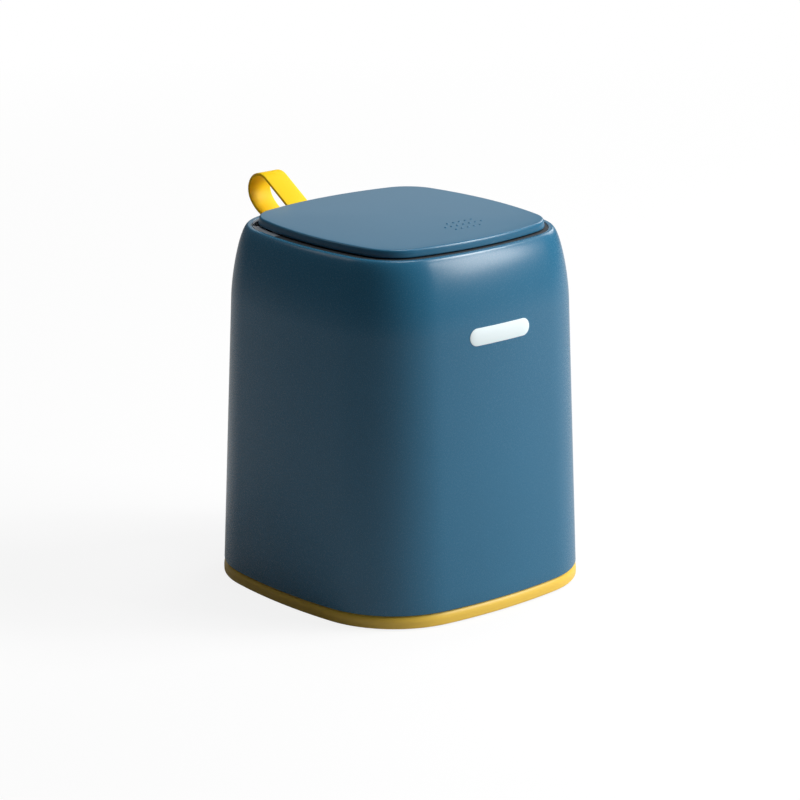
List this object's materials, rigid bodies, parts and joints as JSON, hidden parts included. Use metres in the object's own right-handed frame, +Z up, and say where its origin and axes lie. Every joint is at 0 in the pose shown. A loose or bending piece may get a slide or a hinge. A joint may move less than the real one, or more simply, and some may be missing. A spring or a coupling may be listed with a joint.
{
  "type": "push top countertop bin",
  "caption": "Square countertop waste bin with round corners, a rolled shoulder, a push top sprung lid, a lift-off shell over an inner bucket, and a rear strap loop.",
  "frame": {"origin": "centre of the foot ring's face on the table, under the centre of the body", "axes": "+Z up, -Y towards the front face, +X to the right as seen from the front; the strap is at the back, +Y"},
  "size_m": [0.1506, 0.1813, 0.1811],
  "materials": {
    "shell_blue": "fine moulded grain",
    "lid_blue": "fine moulded grain",
    "base_yellow": "satin moulded",
    "strap_yellow": "smooth silicone",
    "frame_grey": "satin moulded",
    "bucket_grey": "satin moulded",
    "latch_plastic": "natural acetal",
    "slider_yellow": "natural acetal",
    "steel": "drawn wire, zinc plated",
    "spring_steel": "spring wire",
    "foot_rubber": "moulded rubber"
  },
  "bodies": {
    "base": {"base_tray": "base_yellow", "foot_ring": "foot_rubber"},
    "shell": {"outer_shell": "shell_blue", "top_frame": "frame_grey", "frame_screws": "steel", "strap_loop": "strap_yellow", "strap_clamp": "latch_plastic", "strap_screws": "steel", "hinge_pin": "steel", "torsion_spring_left": "spring_steel", "torsion_spring_right": "spring_steel", "latch_housing": "latch_plastic", "latch_cover": "latch_plastic", "latch_screws": "steel", "latch_cam_pin": "steel", "latch_spring": "spring_steel", "front_bumpers": "foot_rubber"},
    "bucket": {"inner_bucket": "bucket_grey"},
    "lid": {"lid_cover": "lid_blue", "lid_liner": "frame_grey", "liner_screws": "steel", "striker": "latch_plastic", "striker_screws": "steel"},
    "latch": {"latch_slider": "slider_yellow"}
  },
  "joints": [
    {"name": "shell_lift", "type": "slide", "parent": "base", "child": "shell", "axis": [0, 0, 1], "range_m": [0, 0.26]},
    {"name": "bucket_lift", "type": "slide", "parent": "base", "child": "bucket", "axis": [0, 0, 1], "range_m": [0, 0.11]},
    {"name": "lid_hinge", "type": "hinge", "parent": "shell", "child": "lid", "pos_m": [0, 0.041, 0.1696], "axis": [-1, 0, 0], "range_deg": [0, 75]},
    {"name": "latch_slide", "type": "slide", "parent": "shell", "child": "latch", "axis": [0, 0, -1], "range_m": [0, 0.002], "stiffness_N_per_m": 300, "deforming": ["latch_spring"]}
  ],
  "couplings": [
    {"joint": "bucket_lift", "follows": "shell_lift", "ratio": 0.42}
  ]
}
